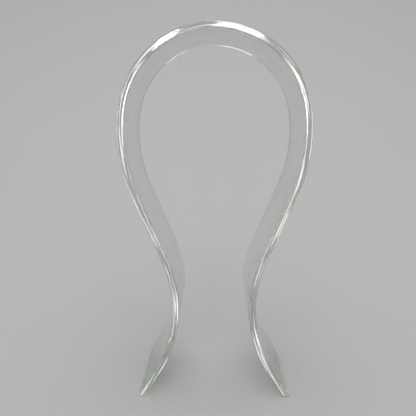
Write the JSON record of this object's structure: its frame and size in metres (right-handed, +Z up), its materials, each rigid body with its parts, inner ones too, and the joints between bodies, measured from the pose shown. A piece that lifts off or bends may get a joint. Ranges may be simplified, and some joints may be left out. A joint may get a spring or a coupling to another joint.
{
  "type": "headphone stand",
  "caption": "Clear acrylic headphone stand bent from a flat strip: a round keyhole loop that carries the headband, a narrow waist and splayed feet.",
  "frame": {"origin": "on the table, midway between the feet and midway across the strip", "axes": "+Z up, the loop's round opening runs along Y, the front edge of the strip faces -Y"},
  "size_m": [0.1194, 0.06, 0.24],
  "materials": {
    "clear_acrylic": "clear cast acrylic, polished faces, flame-polished edges, faint green cast"
  },
  "bodies": {
    "root": {"acrylic_stand": "clear_acrylic"}
  },
  "joints": []
}
